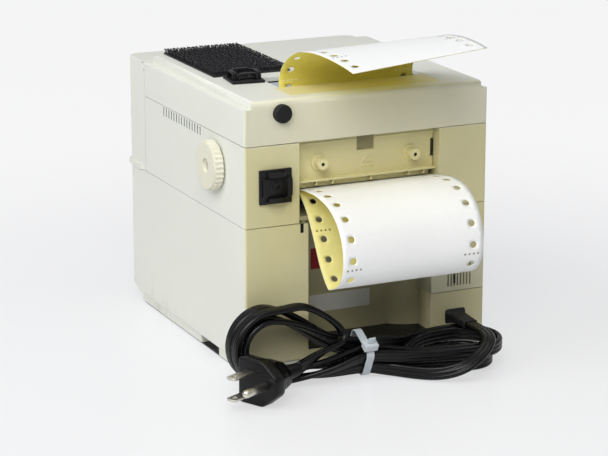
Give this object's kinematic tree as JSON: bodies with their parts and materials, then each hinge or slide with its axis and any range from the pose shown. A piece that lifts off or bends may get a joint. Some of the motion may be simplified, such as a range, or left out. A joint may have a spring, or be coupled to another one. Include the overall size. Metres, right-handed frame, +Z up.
{
  "type": "dot_matrix_printer",
  "caption": "Small beige dot matrix form printer with a lift-up front cover, a hinged rear paper door, pin feed, a side paper knob and a bundled mains cord",
  "frame": {"origin": "on the table, midway between the sides, 89 mm in front of the rear face", "axes": "+Z up, -Y is the front with the lift-up cover, +Y is the rear where the paper enters, +X is the side with the paper knob"},
  "size_m": [0.1976, 0.2582, 0.1984],
  "materials": {
    "case_plastic": "fine spark-eroded texture, a little yellowed",
    "aged_plastic": "fine texture, more yellowed",
    "black_plastic": "satin",
    "grey_plastic": "satin",
    "white_plastic": "satin nylon",
    "lens_plastic": "clear tinted",
    "rubber": "matt",
    "steel": "zinc plated",
    "chrome": "ground and polished",
    "brass": "machined",
    "head_metal": "dark anodised",
    "black_metal": "black paint",
    "board": "solder mask",
    "ribbon_cloth": "inked nylon",
    "hook_tape": "stiff hooks on a woven strip",
    "white_paper": "thin form paper",
    "yellow_paper": "thin form paper",
    "cord_jacket": "soft PVC, satin"
  },
  "bodies": {
    "case": {"bottom_plate": "black_plastic", "base_pads": "rubber", "lower_case": "case_plastic", "mid_case": "case_plastic", "top_cover": "case_plastic", "front_hinge_pin": "steel", "exit_strip": "aged_plastic", "interface_cover": "case_plastic", "interface_board": "board", "recess_plate": "black_metal", "power_inlet": "black_plastic", "left_frame": "steel", "right_frame": "steel", "deck_plate": "steel", "deck_posts": "steel", "shaft_bushes": "brass", "idler_stud": "steel", "feed_motor": "steel", "guide_rods": "chrome", "carriage_belt": "rubber", "belt_stud": "steel", "carriage_motor": "steel", "ribbon_cassette": "black_plastic", "ribbon_band": "ribbon_cloth", "entry_chute": "black_plastic", "main_board": "board", "board_chips": "black_plastic", "transformer": "head_metal", "rocker_bezel": "black_plastic", "status_lenses": "lens_plastic", "top_tie_mount": "black_plastic", "rear_tie_mount": "black_plastic", "round_bumper": "rubber", "hook_patch": "hook_tape", "rear_form_near": "white_paper", "rear_form_far": "yellow_paper", "form_run": "white_paper", "top_form": "white_paper", "cord_lead_inlet": "cord_jacket", "cord_hank": "cord_jacket", "cord_lead_plug": "cord_jacket", "cable_tie": "white_plastic", "mains_plug": "cord_jacket"},
    "platen": {"platen_roller": "rubber", "platen_shaft": "steel", "platen_knob": "case_plastic", "pin_wheels": "white_plastic", "platen_gear": "white_plastic"},
    "idler": {"idler_gear": "white_plastic"},
    "pinion": {"motor_pinion": "brass"},
    "head_carriage": {"carriage": "black_plastic", "print_head": "head_metal"},
    "drive_pulley": {"belt_drive_pulley": "white_plastic"},
    "idle_pulley": {"belt_idle_pulley": "white_plastic"},
    "ribbon_winder": {"ribbon_knob": "white_plastic"},
    "cover": {"front_cover": "case_plastic"},
    "door": {"rear_door": "aged_plastic"},
    "rocker": {"power_rocker": "black_plastic"},
    "feed_key": {"feed_button": "grey_plastic"},
    "online_key": {"online_button": "grey_plastic"}
  },
  "joints": [
    {"name": "platen_turn", "type": "hinge", "parent": "case", "child": "platen", "pos_m": [0, 0.0462, 0.121], "axis": [1, 0, 0], "continuous": true},
    {"name": "idler_turn", "type": "hinge", "parent": "case", "child": "idler", "pos_m": [-0.0681, 0.03868, 0.10033], "axis": [1, 0, 0], "continuous": true},
    {"name": "pinion_turn", "type": "hinge", "parent": "case", "child": "pinion", "pos_m": [-0.0681, 0.03868, 0.08633], "axis": [1, 0, 0], "continuous": true},
    {"name": "carriage_slide", "type": "slide", "parent": "case", "child": "head_carriage", "axis": [1, 0, 0], "range_m": [-0.024, 0.024]},
    {"name": "drive_pulley_turn", "type": "hinge", "parent": "case", "child": "drive_pulley", "pos_m": [-0.0489, -0.014, 0.1], "axis": [0, 0, 1], "range_deg": [-214, 214]},
    {"name": "idle_pulley_turn", "type": "hinge", "parent": "case", "child": "idle_pulley", "pos_m": [0.0431, -0.014, 0.1], "axis": [0, 0, 1], "range_deg": [-214, 214]},
    {"name": "ribbon_knob_turn", "type": "hinge", "parent": "case", "child": "ribbon_winder", "pos_m": [-0.045, -0.0318, 0.126], "axis": [0, 0, 1], "continuous": true},
    {"name": "front_cover_lift", "type": "hinge", "parent": "case", "child": "cover", "pos_m": [0, -0.0725, 0.1595], "axis": [-1, 0, 0], "range_deg": [0, 90]},
    {"name": "rear_door_swing", "type": "hinge", "parent": "case", "child": "door", "pos_m": [-0.0015, 0.0795, 0.1366], "axis": [1, 0, 0], "range_deg": [0, 68]},
    {"name": "power_rock", "type": "hinge", "parent": "case", "child": "rocker", "pos_m": [-0.076, 0.02, 0.034], "axis": [0, -1, 0], "range_deg": [0, 16]},
    {"name": "feed_press", "type": "slide", "parent": "case", "child": "feed_key", "axis": [0, 1, 0], "range_m": [0, 0.0015], "stiffness_N_per_m": 400},
    {"name": "online_press", "type": "slide", "parent": "case", "child": "online_key", "axis": [0, 1, 0], "range_m": [0, 0.0015], "stiffness_N_per_m": 400}
  ],
  "couplings": [
    {"joint": "idler_turn", "follows": "platen_turn", "ratio": -1.2},
    {"joint": "pinion_turn", "follows": "platen_turn", "ratio": 3},
    {"joint": "drive_pulley_turn", "follows": "carriage_slide", "rad_per_m": -144.93},
    {"joint": "idle_pulley_turn", "follows": "carriage_slide", "rad_per_m": -144.93}
  ]
}
